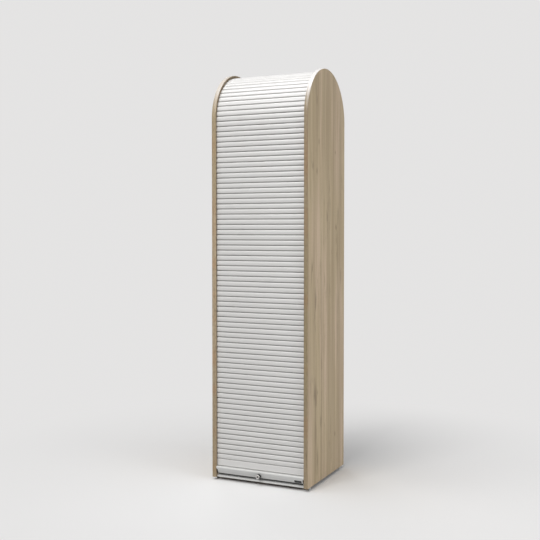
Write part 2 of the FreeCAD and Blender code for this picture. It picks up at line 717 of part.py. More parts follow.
def lead_slat():
    """Flat slat with round shoulders between the lead bar and the curtain."""
    body = new_body("lead_slat")
    low = "dims.slat_joint / 2"
    high = "dims.lead_slat_height - dims.slat_joint / 2"
    rebate_top = "dims.bar_tongue + dims.lap_play"
    face = "dims.lead_slat_face"
    lip = minus("dims.lap_thickness")
    front = shoulder(face, low, 1) + shoulder(face, high, -1)[::-1]
    corners = [
        (minus(REBATE), low),
        *[(minus(f"({out})"), *rest) for out, *rest in front],
        (lip, high),
        (lip, f"{high} + dims.lap_height"),
        ("0", f"{high} + dims.lap_height"),
        ("0", rebate_top),
        (minus(REBATE), rebate_top),
    ]
    sketch = outline(new_sketch(body, "YZ_Plane"), corners)
    pad(body, sketch, f"2 * {SLAT_HALF}", both_ways=True)
    screw_holes(body, "dims.bar_tongue / 2", "dims.screw_length + dims.bore_play")
    return place(body, "0", minus(CURTAIN_BACK), BAR_TOP)


def lead_bar_caps():
    """End caps that close the nose and run in the tracks."""
    body = new_body("lead_bar_caps")
    low = "dims.bar_height - dims.lip_height"
    high = "dims.bar_height - dims.slat_joint"
    block = new_sketch(body, "YZ_Plane", BAR_HALF)
    outline(block, [("0", low)] + nose("0") + [("0", high)])
    cap = pad(body, block, "dims.cap_thickness")
    runner = new_sketch(body, "YZ_Plane", f"{BAR_HALF} + dims.cap_thickness")
    rectangle(runner, minus("dims.slat_thickness"), low, "0", high)
    guide = pad(body, runner, f"{SLAT_HALF} - {BAR_HALF} - dims.cap_thickness")
    twin = body.newObject("PartDesign::Mirrored", "lead_bar_caps_twin")
    twin.Originals = [cap, guide]
    twin.MirrorPlane = (origin_feature(body, "YZ_Plane"), [""])
    body.Tip = twin
    return place(body, "0", minus(CURTAIN_BACK), BAR_FOOT)


def lead_bar_screws():
    screws = []
    back = minus(CURTAIN_BACK)
    height = f"{BAR_TOP} + dims.bar_tongue / 2"
    for x in screw_places():
        shank = rod("dims.screw_radius", "dims.screw_length", (x, f"{back} - dims.screw_length", height), "y")
        head = rod("dims.screw_head", "dims.screw_head_height", (x, back, height), "y")
        screws.append(join([shank, head]))
    return group("lead_bar_screws", screws)


def lock_barrel():
    """Round barrel that stands out of the lead bar, with a threaded tail behind it."""
    body = new_body("lock_barrel")
    front = minus("dims.lock_reach")
    thread = "(dims.lock_radius - dims.lock_chamfer / 2)"
    bore = "(dims.plug_radius + dims.plug_play)"
    corners = [
        (front, bore),
        (front, "dims.lock_radius - dims.lock_chamfer"),
        (f"{front} + dims.lock_chamfer", "dims.lock_radius"),
        (minus("dims.lock_chamfer"), "dims.lock_radius"),
        (minus("dims.lock_chamfer"), thread),
        ("dims.lock_tail", thread),
        ("dims.lock_tail", bore),
    ]
    sketch = outline(new_sketch(body, "YZ_Plane"), corners)
    turned = body.newObject("PartDesign::Revolution", "lock_barrel_turned")
    turned.Profile = sketch
    turned.ReferenceAxis = (sketch, ["H_Axis"])
    turned.Angle = 360
    return place(body, "0", minus(CURTAIN_BACK), LOCK_Z)


def lock_nut():
    """Hexagon nut that clamps the barrel to the back of the lead bar."""
    blank = doc.addObject("Part::Prism", "hexagon")
    blank.Polygon = 6
    blank.setExpression("Circumradius", "dims.nut_radius")
    blank.setExpression("Height", "dims.nut_height")
    blank.Placement.Rotation = TURNS["y"]
    start = ("0", minus(CURTAIN_BACK), LOCK_Z)
    bore = rod("dims.lock_radius - dims.lock_chamfer / 2 + dims.lock_play", "dims.nut_height", start, "y")
    return keep(cut(place(blank, *start), [bore]), "lock_nut")


def lock_plug():
    """Turning core with the key slot in front and a square end for the cam."""
    front = f"-1 * {CURTAIN_BACK} - dims.lock_reach - dims.plug_proud"
    core_length = "dims.lock_reach + dims.plug_proud + dims.lock_tail"
    core = rod("dims.plug_radius", core_length, ("0", front, LOCK_Z), "y")
    tail = f"dims.lock_tail - {CURTAIN_BACK}"
    half = "dims.shank / 2"
    square = box(
        ("dims.shank", "dims.shank_length", "dims.shank"),
        (f"-1 * {half}", tail, f"{LOCK_Z} - {half}"),
    )
    keyway = box(
        ("dims.keyway_width", "dims.keyway_depth", "dims.keyway_height"),
        ("-1 * dims.keyway_width / 2", front, f"{LOCK_Z} - dims.keyway_height / 2"),
    )
    thread_start = f"{tail} + dims.shank_length - dims.screw_length - dims.bore_play"
    thread = rod(
        "dims.screw_radius + dims.bore_play",
        "dims.screw_length + dims.bore_play",
        ("0", thread_start, LOCK_Z),
        "y",
    )
    return keep(cut(join([core, square]), [keyway, thread]), "lock_plug")


def lock_cam():
    """Arm on the square end of the core. It lies level when unlocked and points down when locked."""
    body = new_body("lock_cam")
    arm = "(dims.cam_reach - dims.cam_tip)"
    corners = [
        ("0", "dims.cam_boss"),
        (minus("dims.cam_boss"), "0", True),
        ("0", minus("dims.cam_boss")),
        (arm, minus("dims.cam_tip")),
        ("dims.cam_reach", "0", True),
        (arm, "dims.cam_tip"),
    ]
    sketch = outline(new_sketch(body, "XZ_Plane"), corners)
    pad(body, sketch, "dims.cam_thickness", backwards=True)
    hole = new_sketch(body, "XZ_Plane")
    half = "(dims.shank / 2 + dims.plug_play)"
    rectangle(hole, minus(half), minus(half), half, half)
    pocket(body, hole, "dims.cam_thickness", False)
    return place(body, "0", CAM_Y, LOCK_Z)


def cam_screw():
    seat = f"dims.lock_tail - {CURTAIN_BACK} + dims.shank_length"
    shank = rod("dims.screw_radius", "dims.screw_length", ("0", f"{seat} - dims.screw_length", LOCK_Z), "y")
    head = rod("dims.cam_screw_head", "dims.screw_head_height", ("0", seat, LOCK_Z), "y")
    return keep(join([shank, head]), "cam_screw")


for side_name, side_sign in SIDES:
    side_panel(side_name, side_sign)
    edge_band(side_name, side_sign)
base_panel()
strike_plate()
top_panel()
for shelf_index in range(SHELF_COUNT):
    shelf(shelf_index)
shelf_pins()
inner_back()
rear_cover()
floor_glides()
door_stops()
board_fasteners()
front_count, straight_rest = curtain_numbers()
front_slats(front_count)
arch_slats(straight_rest)
lead_bar()
lead_slat()
lead_bar_caps()
lead_bar_screws()
lock_barrel()
lock_nut()
lock_plug()
lock_cam()
cam_screw()
doc.recompute()

for item in doc.Objects:
    if {"Invalid", "Error"} & set(item.State):
        raise ValueError(f"{item.Label} failed: {item.State}")
for item in parts:
    if item.Shape.isNull() or not item.Shape.isValid():
        raise ValueError(f"{item.Label} has no valid shape")

os.makedirs("parts", exist_ok=True)
for item in parts:
    item.Shape.exportStep(f"parts/{item.Label}.step")
print(len(parts), "sub-parts,", front_count, "slats on the straight front")
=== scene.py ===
import json
import math
import random

import bpy
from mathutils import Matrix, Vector

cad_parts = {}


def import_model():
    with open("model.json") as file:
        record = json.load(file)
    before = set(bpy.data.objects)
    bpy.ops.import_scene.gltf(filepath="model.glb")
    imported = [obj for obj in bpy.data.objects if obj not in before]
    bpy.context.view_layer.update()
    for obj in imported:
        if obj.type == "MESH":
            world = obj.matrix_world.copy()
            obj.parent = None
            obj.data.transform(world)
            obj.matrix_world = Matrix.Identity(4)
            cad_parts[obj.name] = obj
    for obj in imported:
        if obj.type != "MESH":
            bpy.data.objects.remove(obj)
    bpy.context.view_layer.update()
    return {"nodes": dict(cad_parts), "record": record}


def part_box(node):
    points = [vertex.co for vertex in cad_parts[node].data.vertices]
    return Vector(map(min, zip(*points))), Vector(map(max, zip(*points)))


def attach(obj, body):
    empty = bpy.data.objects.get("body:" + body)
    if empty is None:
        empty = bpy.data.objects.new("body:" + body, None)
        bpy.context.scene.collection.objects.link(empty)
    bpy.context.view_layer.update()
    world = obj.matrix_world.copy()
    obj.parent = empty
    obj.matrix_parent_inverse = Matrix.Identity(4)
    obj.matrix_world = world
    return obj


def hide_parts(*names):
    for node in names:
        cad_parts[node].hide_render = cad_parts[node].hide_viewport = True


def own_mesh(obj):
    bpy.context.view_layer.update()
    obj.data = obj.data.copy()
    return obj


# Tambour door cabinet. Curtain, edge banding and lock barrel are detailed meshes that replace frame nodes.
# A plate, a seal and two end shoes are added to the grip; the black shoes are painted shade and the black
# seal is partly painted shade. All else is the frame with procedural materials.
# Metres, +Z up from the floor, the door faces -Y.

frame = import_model()
nodes = frame["nodes"]

# Sizes that the construction has too
RADIUS = 0.230
SPRINGING = 1.675
SIDE_BOARD = 0.019
EDGE_BAND = 0.001
PITCH = 0.0237
JOINT = 0.0008
SLAT_THICKNESS = 0.008
SLAT_EDGE = 0.0038
SLAT_FACE = 0.0073
SLAT_SHOULDER = 0.0046
SHOULDER_BULGE = 0.00066
LAP_HEIGHT = 0.004
LAP_THICKNESS = 0.0016
LAP_PLAY = 0.001
REBATE = 0.0026
SLATS_IN_SECTION = 3
SECTIONS = 22

# Three points on the rounded front of the grip, as (out from the curtain's back, up from the grip's foot)
BAR_FRONT = ((0.0086, 0.0), (0.0146, 0.011), (0.0182, 0.021))

# Places read from the frame
SLAT_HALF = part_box("slats_22")[1].x
CURTAIN_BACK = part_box("slats_22")[1].y
CURTAIN_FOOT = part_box("slats_22")[0].z - JOINT / 2
PANEL_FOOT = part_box("right_side_panel")[0].z
PANEL_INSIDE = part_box("right_side_panel")[0].x
BAR_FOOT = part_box("lead_bar")[0].z
BAR_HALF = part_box("lead_bar")[1].x
LEAD_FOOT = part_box("lead_slat")[0].z
LOCK_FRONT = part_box("lock_barrel")[0].y
LOCK_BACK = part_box("lock_barrel")[1].y
LOCK_HEIGHT = (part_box("lock_barrel")[0].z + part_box("lock_barrel")[1].z) / 2

OUT = Vector((0, -1, 0))
UP = Vector((0, 0, 1))


class Nodes:
    """A node tree with short ways to add nodes."""

    def __init__(self, tree):
        self.tree = tree

    def feed(self, socket, source):
        """Links a node's output to a socket, or sets the socket's value."""
        if isinstance(source, bpy.types.NodeSocket):
            self.tree.links.new(source, socket)
        elif isinstance(source, (tuple, list)) and len(socket.default_value) == 4:
            socket.default_value = (*source[:3], 1)
        else:
            socket.default_value = source

    def add(self, kind, sources=(), **settings):
        """A node with its settings and, by number or name, the sources of its inputs."""
        node = self.tree.nodes.new(f"ShaderNode{kind}")
        for key, setting in settings.items():
            setattr(node, key, setting)
        for key, source in dict(sources).items():
            self.feed(node.inputs[key], source)
        return node

    def math(self, operation, a, b=0.0):
        return self.add("Math", {0: a, 1: b}, operation=operation).outputs[0]

    def seen_directly(self):
        """1 for what the camera, mirrors and glass see, 0 for light that falls on the object."""
        rays = self.add("LightPath").outputs
        mirror = self.math("MAXIMUM", rays["Is Glossy Ray"], rays["Is Transmission Ray"])
        return self.math("MAXIMUM", rays["Is Camera Ray"], mirror)


class Shader(Nodes):
    """A material made of nodes. Colour, roughness and metallic are its values where no node feeds them."""

    def __init__(self, name, colour, roughness, metallic=0.0):
        self.material = bpy.data.materials.new(name)
        self.material.use_nodes = True
        super().__init__(self.material.node_tree)
        self.surface = self.tree.nodes["Principled BSDF"]
        self.set("Base Color", (*colour, 1))
        self.set("Roughness", roughness)
        self.set("Metallic", metallic)

    def set(self, name, value):
        self.surface.inputs[name].default_value = value

    def place(self):
        """The point in the frame at rest, which moves along with its piece."""
        return self.add("TexCoord").outputs["Object"]

    def split(self, vector):
        return self.add("SeparateXYZ", {0: vector}).outputs

    def vector(self, x=0.0, y=0.0, z=0.0):
        return self.add("CombineXYZ", {0: x, 1: y, 2: z}).outputs[0]

    def length(self, vector):
        return self.add("VectorMath", {0: vector}, operation="LENGTH").outputs["Value"]

    def attribute(self, name, output="Fac"):
        return self.add("Attribute", attribute_name=name).outputs[output]

    def stretch(self, vector, x, y, z):
        """A vector whose parts are divided by the sizes of a pattern in metres."""
        sizes = (1 / x, 1 / y, 1 / z)
        return self.add("VectorMath", {0: vector, 1: sizes}, operation="MULTIPLY").outputs[0]

    def noise(self, vector, detail=2.0, roughness=0.5):
        sources = {
            "Vector": vector,
            "Scale": 1.0,
            "Detail": detail,
            "Roughness": roughness,
            "Distortion": 0.0,
        }
        return self.add("TexNoise", sources).outputs[0]

    def fit(self, value, low, high, to_low=0.0, to_high=1.0, smooth=False):
        """A value carried from one range to another, and kept inside it."""
        sources = {0: value, 1: low, 2: high, 3: to_low, 4: to_high}
        kind = "SMOOTHSTEP" if smooth else "LINEAR"
        return self.add("MapRange", sources, interpolation_type=kind).outputs[0]

    def spread(self, noise, to_low=0.0, to_high=1.0):
        """The range in which most of a noise lies, carried to another."""
        return self.fit(noise, 0.3, 0.7, to_low, to_high)

    def mix(self, share, first, second, blend="MIX"):
        sources = {0: share, 6: first, 7: second}
        return self.add("Mix", sources, data_type="RGBA", blend_type=blend).outputs[2]

    def colour(self, source):
        self.feed(self.surface.inputs["Base Color"], source)

    def roughness(self, source):
        self.feed(self.surface.inputs["Roughness"], source)

    def metallic(self, source):
        self.feed(self.surface.inputs["Metallic"], source)

    def bump(self, height, depth):
        """Relief: height from 0 to 1 stands for depth in metres."""
        node = self.add("Bump", {"Strength": 1.0, "Distance": depth, "Height": height})
        self.feed(self.surface.inputs["Normal"], node.outputs[0])


# Colours, as linear red, green and blue. Clouds are two tones between which a material varies.
OAK_WARM = (0.590, 0.462, 0.325)
OAK_OLIVE = (0.515, 0.414, 0.262)
OAK_DARK = (0.345, 0.260, 0.163)
OAK_LINE = (0.180, 0.131, 0.080)
# Painted light from above: the banding's paler tone where it faces up
OAK_PAINTED_TOP_LIGHT = (0.870, 0.840, 0.815)
OAK_BLUSH = (1.0, 0.88, 0.81)
RAW_BOARD = (0.20, 0.145, 0.095)
MELAMINE = (0.80, 0.80, 0.785)
MELAMINE_CLOUDS = ((0.775, 0.775, 0.757), (0.815, 0.815, 0.802))
HARDBOARD = (0.77, 0.77, 0.75)
HARDBOARD_CLOUDS = ((0.745, 0.745, 0.725), (0.79, 0.79, 0.775))
SLAT_WHITE = (0.80, 0.789, 0.773)
SLAT_CLOUDS = ((0.79, 0.779, 0.763), (0.815, 0.804, 0.790))
# Dust on the slats, and painted shade at their joints and at the flat slat's foot
SLAT_DUST_AND_SHADE = (0.245, 0.234, 0.224)
GRIP_WHITE = (0.77, 0.77, 0.755)
GRIP_TOUCHED = (0.66, 0.65, 0.62)
GLIDE_GREY = (0.50, 0.50, 0.48)
NICKEL = (0.60, 0.595, 0.57)
ZINC = (0.50, 0.51, 0.53)
LOCK_GREY = (0.62, 0.61, 0.59)
LOCK_NICKEL = (0.60, 0.585, 0.565)
LOCK_FLANK_SHADE = (0.012, 0.012, 0.012)
KEYHOLE_SHADE = (0.030, 0.029, 0.028)
PLATE_BLACK = (0.030, 0.030, 0.031)
RUBBER_BLACK = (0.028, 0.028, 0.028)
BEECH = (0.56, 0.36, 0.19)
BEECH_CLOUDS = ((0.60, 0.40, 0.22), (0.42, 0.25, 0.12))


# Oak decor

# Third parts of noise vectors, which only keep the patterns apart
WANDER_PLANE = 3.1
FRAY_PLANE = 4.4
BLUSH_PLANE = 1.9

# Length along the grain over which its lines wander, and how far they do
WANDER_LENGTH = 0.42
WANDER = 0.012


def oak(shader, across, along, seed, scale=1.0, depth=(1.0, 1.0, 1.0)):
    """Grey-beige oak decor with its grain along one direction: its tone, its streaks and its relief.

    scale narrows the figure, and depth darkens red, green and blue, when below 1."""
    stretch = shader.math("DIVIDE", along, WANDER_LENGTH)
    wander = shader.noise(shader.vector(stretch, seed, WANDER_PLANE))
    drift = shader.math("MULTIPLY", shader.math("SUBTRACT", wander, 0.5), WANDER * scale)
    line = shader.math("ADD", across, drift)

    def grain(width, length, detail, offset):
        """Noise with a figure of this width and length in metres. offset gives each layer its own."""
        x = shader.math("DIVIDE", line, width * scale)
        y = shader.math("DIVIDE", along, length)
        return shader.noise(shader.vector(x, y, seed + offset), detail)

    def shade(colour):
        return tuple(share * part for share, part in zip(depth, colour))

    hue = shader.fit(grain(0.12, 0.9, 1.0, 0.0), 0.38, 0.62, smooth=True)
    bands = shader.fit(grain(0.038, 1.3, 2.0, 5.7), 0.42, 0.64, smooth=True)
    streaks = shader.fit(grain(0.012, 0.48, 3.0, 9.2), 0.42, 0.70)
    fine = shader.fit(grain(0.0032, 0.09, 2.0, 11.3), 0.35, 0.65)
    pores = shader.fit(grain(0.0009, 0.018, 2.0, 17.9), 0.60, 0.72)
    lanes = shader.fit(grain(0.085, 0.50, 1.0, 23.5), 0.47, 0.58, smooth=True)
    flecks = shader.fit(grain(0.012, 0.115, 2.0, 31.4), 0.60, 0.73, smooth=True)
    marks = shader.math("MULTIPLY", flecks, lanes)

    tone = shader.mix(hue, shade(OAK_WARM), shade(OAK_OLIVE))
    layers = (
        (bands, 0.58, OAK_DARK),
        (streaks, 0.58, OAK_DARK),
        (fine, 0.22, OAK_DARK),
        (marks, 0.55, OAK_LINE),
        (pores, 0.30, OAK_LINE),
    )
    for share, strength, colour in layers:
        tone = shader.mix(shader.math("MULTIPLY", share, strength), tone, shade(colour))
    hollows = shader.math("MAXIMUM", pores, shader.math("MULTIPLY", fine, 0.4))
    relief = shader.math("SUBTRACT", 1.0, hollows)
    return tone, streaks, relief


def finish_oak(shader, tone, streaks, relief, gloss):
    """The decor's colour and relief, with a roughness that rises from gloss in the dark streaks."""
    shader.colour(tone)
    shader.roughness(shader.fit(streaks, 0, 1, gloss, gloss + 0.10))
    shader.bump(relief, 0.00007)


# Knots and dark lines of a panel: place along Y, height, half width, half length and strength
WOOD_MARKS = (
    (-0.136, 0.412, 0.036, 0.070, 0.36),
    (-0.145, 0.418, 0.020, 0.032, 0.42),
    (-0.112, 0.425, 0.012, 0.026, 0.50),
    (-0.138, 0.260, 0.014, 0.330, 0.46),
    (-0.117, 0.130, 0.012, 0.120, 0.70),
    (-0.137, 0.840, 0.014, 0.050, 0.58),
    (-0.124, 1.428, 0.012, 0.024, 0.80),
    (-0.066, 0.780, 0.014, 0.800, 0.26),
    (-0.072, 0.285, 0.010, 0.040, 0.50),
    (-0.100, 1.565, 0.010, 0.022, 0.45),
    (0.118, 1.177, 0.012, 0.022, 0.75),
    (0.107, 1.530, 0.010, 0.016, 0.55),
    (0.107, 0.191, 0.009, 0.014, 0.50),
    (0.142, 0.860, 0.015, 0.520, 0.28),
    (0.183, 0.940, 0.010, 0.055, 0.45),
)

# The fraying of their rims: its width and length, and its depth as a share of a mark
FRAY_WIDTH = 0.011
FRAY_LENGTH = 0.09
FRAY = 0.35


def wood_marks(shader, tone, y, z, way):
    """Knots and dark lines, longer than wide, that fade towards their rim."""
    wide = shader.math("DIVIDE", y, FRAY_WIDTH)
    tall = shader.math("DIVIDE", z, FRAY_LENGTH)
    fray = shader.spread(shader.noise(shader.vector(wide, tall, FRAY_PLANE), 3.0), -FRAY, FRAY)
    for row, height, width, length, strength in WOOD_MARKS:
        wide = shader.math("DIVIDE", shader.math("SUBTRACT", y, way * row), width)
        tall = shader.math("DIVIDE", shader.math("SUBTRACT", z, height), length)
        reach = shader.math("ADD", shader.length(shader.vector(wide, tall)), fray)
        share = shader.fit(reach, 1.0, 0.1, 0.0, strength, smooth=True)
        tone = shader.mix(share, tone, OAK_LINE)
    return tone


# Dust, rubbing and painted shade along the curtain's track, none at the first distance and full at the
# second:
# into the board, as X from the middle, and towards the front and the back of the track, as radius round the
# arch
DIRT_AND_SHADE_IN_BOARD = (0.2345, 0.2330)
DIRT_AND_SHADE_FRONT = (0.2298, 0.2225)
DIRT_AND_SHADE_BACK = (0.2080, 0.2100)
DIRT_AND_SHADE_STRENGTH = 0.72


def track_dirt_and_shade(shader, tone, x, y, z):
    """Dark dust and rubbing, with painted shade, along the curtain's track on the inside of a side panel."""
    over = shader.math("MAXIMUM", shader.math("SUBTRACT", z, SPRINGING), 0.0)
    radius = shader.length(shader.vector(0.0, y, over))
    inside = shader.fit(shader.math("ABSOLUTE", x), *DIRT_AND_SHADE_IN_BOARD)
    front = shader.fit(radius, *DIRT_AND_SHADE_FRONT)
    back = shader.fit(radius, *DIRT_AND_SHADE_BACK)
    share = shader.math("MULTIPLY", shader.math("MULTIPLY", front, back), inside)
    return shader.mix(shader.math("MULTIPLY", share, DIRT_AND_SHADE_STRENGTH), tone, OAK_LINE)


# Heights above a panel's foot at which its raw underside ends and is full
RAW_END = 0.0005
RAW_FULL = 0.0002


def raw_underside(shader, tone, z):
    """Uncoated particle board where a panel faces the floor."""
    under = shader.fit(z, PANEL_FOOT + RAW_END, PANEL_FOOT + RAW_FULL)
    return shader.mix(under, tone, RAW_BOARD)


def oak_panel(name, seed, way):
    """The decor on a side panel. way is -1 where the marks lie the other way round."""
    shader = Shader(name, OAK_WARM, 0.48)
    shader.set("Specular IOR Level", 0.25)
    x, y, z = shader.split(shader.place())
    tone, streaks, relief = oak(shader, shader.math("ADD", y, x), z, seed)
    tone = wood_marks(shader, tone, y, z, way)
    tone = track_dirt_and_shade(shader, tone, x, y, z)
    tone = raw_underside(shader, tone, z)
    finish_oak(shader, tone, streaks, relief, gloss=0.44)
    return shader.material


# On the banding: scale of the decor, length of the blushed stretches, and width, length and strength of its
# mottling
BAND_SCALE = 0.45
BLUSH_LENGTH = 0.13
MOTTLE_WIDTH = 0.006
MOTTLE_LENGTH = 0.016
MOTTLE = 0.34


def oak_band(name, seed, depth, painted_top_light):
    """The decor on the banding: grain along the band, a thin lacquer, and painted top light over the arch."""
    shader = Shader(name, OAK_WARM, 0.40)
    shader.set("Specular IOR Level", 0.2)
    shader.set("Coat Weight", 0.8)
    shader.set("Coat Roughness", 0.34)
    across, along, upward = shader.split(shader.attribute("grain", "Vector"))
    tone, streaks, relief = oak(shader, across, along, seed, BAND_SCALE, depth)
    stretch = shader.math("DIVIDE", along, BLUSH_LENGTH)
    stretches = shader.noise(shader.vector(seed, stretch, BLUSH_PLANE))
    tone = shader.mix(shader.fit(stretches, 0.44, 0.64, smooth=True), tone, OAK_BLUSH, "MULTIPLY")
    wide = shader.math("DIVIDE", across, MOTTLE_WIDTH)
    tall = shader.math("DIVIDE", along, MOTTLE_LENGTH)
    mottle = shader.fit(shader.noise(shader.vector(wide, tall, seed), 3.0, 0.6), 0.48, 0.66, 0.0, MOTTLE)
    tone = shader.mix(mottle, tone, OAK_LINE)
    # Painted light from above, stronger the more the banding faces up
    light = shader.math("SUBTRACT", upward, shader.math("MULTIPLY", streaks, 0.12))
    tone = shader.mix(shader.fit(light, 0.10, 0.62, 0.0, painted_top_light, smooth=True), tone, OAK_PAINTED_TOP_LIGHT)
    finish_oak(shader, tone, streaks, relief, gloss=0.36)
    return shader.material


# Other materials


def white_board():
    """Melamine with a fine pearl, raw towards the floor."""
    shader = Shader("white_melamine", MELAMINE, 0.46)
    place = shader.place()
    pearl = shader.noise(shader.stretch(place, 0.0007, 0.0007, 0.0007))
    cloud = shader.noise(shader.stretch(place, 0.16, 0.16, 0.16), 3.0)
    tone = shader.mix(shader.spread(cloud), *MELAMINE_CLOUDS)
    shader.colour(raw_underside(shader, tone, shader.split(place)["Z"]))
    shader.roughness(shader.spread(pearl, 0.40, 0.52))
    shader.bump(pearl, 0.00005)
    return shader.material


def white_hardboard():
    """Lacquered hardboard: smoother than melamine, with a faint fibre."""
    shader = Shader("white_hardboard", HARDBOARD, 0.42)
    place = shader.place()
    fibre = shader.noise(shader.stretch(place, 0.0016, 0.004, 0.0016), 3.0, 0.6)
    cloud = shader.noise(shader.stretch(place, 0.22, 0.22, 0.30), 3.0)
    shader.colour(shader.mix(shader.spread(cloud), *HARDBOARD_CLOUDS))
    shader.roughness(shader.spread(fibre, 0.38, 0.47))
    shader.bump(fibre, 0.00006)
    return shader.material


# Size of the faint lines that the extruder leaves, along X, Y and Z
EXTRUDED = (0.9, 0.0006, 0.0006)

# Dust: the most by which slats differ. Painted shade at the foot of the flat slat: its strength, and the
# heights above that foot at which it ends and is full
LOT_DUST = 0.05
FOOT_SHADE = 0.85
FOOT_SHADE_END = 0.0042
FOOT_SHADE_FULL = 0.0006


def slat_plastic(name, slatted):
    """White satin plastic: dust and painted shade at the slats' joints, or painted shade at the flat slat's
    foot.
    """
    shader = Shader(name, SLAT_WHITE, 0.30)
    shader.set("Coat Weight", 0.7)
    shader.set("Coat Roughness", 0.22)
    place = shader.place()
    lines = shader.noise(shader.stretch(place, *EXTRUDED))
    cloud = shader.noise(shader.stretch(place, 0.20, 0.07, 0.05), 3.0)
    tone = shader.mix(shader.spread(cloud), *SLAT_CLOUDS)
    if slatted:
        lot = shader.fit(shader.attribute("lot"), 0, 1, 0.0, LOT_DUST)
        tone = shader.mix(lot, tone, SLAT_DUST_AND_SHADE)
        patches = shader.noise(shader.stretch(place, 0.05, 0.01, 0.01), 3.0, 0.6)
        # Dust and painted shade towards the joints
        dust_and_shade = shader.math("MULTIPLY", shader.attribute("joint"), shader.spread(patches, 0.80, 0.95))
    else:
        z = shader.split(place)["Z"]
        # Painted shade at the foot of the flat slat
        dust_and_shade = shader.fit(z, LEAD_FOOT + FOOT_SHADE_END, LEAD_FOOT + FOOT_SHADE_FULL, 0.0, FOOT_SHADE)
    shader.colour(shader.mix(dust_and_shade, tone, SLAT_DUST_AND_SHADE))
    shader.roughness(shader.spread(cloud, 0.26, 0.34))
    shader.bump(lines, 0.000006)
    return shader.material


# Distances from the lock at which the touched stretch of the grip ends and is full, and its strength
TOUCH_END = 0.16
TOUCH_FULL = 0.02
TOUCH = 0.35


def grip_plastic():
    """The slats' plastic, smoother and a little greyer where hands take hold beside the lock."""
    shader = Shader("grip_plastic", SLAT_WHITE, 0.38)
    place = shader.place()
    lines = shader.noise(shader.stretch(place, *EXTRUDED))
    smear = shader.noise(shader.stretch(place, 0.03, 0.012, 0.012), 4.0, 0.6)
    aside = shader.math("ABSOLUTE", shader.split(place)["X"])
    middle = shader.fit(aside, TOUCH_END, TOUCH_FULL, smooth=True)
    touch = shader.math("MULTIPLY", middle, shader.fit(smear, 0.35, 0.7))
    shader.colour(shader.mix(shader.math("MULTIPLY", touch, TOUCH), GRIP_WHITE, GRIP_TOUCHED))
    shader.roughness(shader.fit(touch, 0, 1, 0.40, 0.30))
    shader.bump(lines, 0.00004)
    return shader.material


def moulded_plastic(name, colour, roughness):
    """Moulded plastic or rubber with a fine grain and slightly deeper clouds."""
    shader = Shader(name, colour, roughness)
    place = shader.place()
    grain = shader.noise(shader.stretch(place, 0.0006, 0.0006, 0.0006))
    cloud = shader.noise(shader.stretch(place, 0.02, 0.02, 0.01), 3.0)
    deep = tuple(0.86 * part for part in colour)
    shader.colour(shader.mix(shader.fit(cloud, 0.35, 0.7), colour, deep))
    shader.roughness(shader.spread(grain, roughness - 0.06, roughness + 0.06))
    shader.bump(grain, 0.00004)
    return shader.material


def plated_metal(name, colour, roughness, brush):
    """Plated metal. brush is the size of its polishing marks along X, Y and Z."""
    shader = Shader(name, colour, roughness, 1.0)
    place = shader.place()
    marks = shader.noise(shader.stretch(place, *brush), 3.0, 0.6)
    cloud = shader.noise(shader.stretch(place, 0.006, 0.006, 0.006), 3.0)
    dull = tuple(0.78 * part for part in colour)
    shader.colour(shader.mix(shader.fit(cloud, 0.35, 0.75), colour, dull))
    shader.roughness(shader.spread(marks, roughness - 0.07, roughness + 0.09))
    shader.bump(marks, 0.00002)
    return shader.material


# Depths behind the lock's front at which the bare face and the chipped rim end and are full
FACE_END = 0.0016
FACE_FULL = 0.0010
RIM_END = 0.004
RIM_FULL = 0.0012


def lock_metal():
    """Satin nickel on the face of the lock, and its flank black as painted shade."""
    shader = Shader("lock_metal", LOCK_GREY, 0.30)
    shader.set("Specular IOR Level", 0.25)
    place = shader.place()
    y = shader.split(place)["Y"]
    face = shader.fit(y, LOCK_FRONT + FACE_END, LOCK_FRONT + FACE_FULL)
    worn = shader.noise(shader.stretch(place, 0.003, 0.003, 0.003), 3.0, 0.6)
    rim = shader.fit(y, LOCK_FRONT + RIM_END, LOCK_FRONT + RIM_FULL)
    chips = shader.math("MULTIPLY", rim, shader.fit(worn, 0.60, 0.70))
    bare = shader.math("MAXIMUM", face, chips)
    turned = shader.noise(shader.stretch(place, 0.0007, 0.02, 0.0007), 3.0, 0.6)
    # The black of the flank is painted shade
    shader.colour(shader.mix(bare, LOCK_FLANK_SHADE, LOCK_NICKEL))
    shader.metallic(bare)
    shader.roughness(shader.spread(turned, 0.30, 0.46))
    shader.bump(turned, 0.00002)
    return shader.material


# Radii from the core's axis at which the painted shade round the key slot ends and is full
KEYHOLE_SHADE_END = 0.0040
KEYHOLE_SHADE_FULL = 0.0037


def plug_metal():
    """Satin nickel core, dark round the key slot as painted shade of the keyhole."""
    shader = Shader("plug_metal", LOCK_GREY, 0.30)
    place = shader.place()
    x, _, z = shader.split(place)
    radius = shader.length(shader.vector(x, 0.0, shader.math("SUBTRACT", z, LOCK_HEIGHT)))
    keyhole_shade = shader.fit(radius, KEYHOLE_SHADE_END, KEYHOLE_SHADE_FULL)
    brushed = shader.noise(shader.stretch(place, 0.0005, 0.004, 0.0005), 3.0, 0.6)
    shader.colour(shader.mix(keyhole_shade, LOCK_NICKEL, KEYHOLE_SHADE))
    shader.metallic(shader.math("SUBTRACT", 1.0, keyhole_shade))
    shader.roughness(shader.spread(brushed, 0.26, 0.44))
    shader.bump(brushed, 0.00002)
    return shader.material


def beech():
    """Plain beech with flecks along X, as on the dowels."""
    shader = Shader("beech", BEECH, 0.6)
    flecks = shader.noise(shader.stretch(shader.place(), 0.006, 0.0006, 0.0006), 3.0)
    shader.colour(shader.mix(shader.fit(flecks, 0.35, 0.7), *BEECH_CLOUDS))
    shader.roughness(shader.spread(flecks, 0.52, 0.68))
    shader.bump(flecks, 0.00008)
    return shader.material


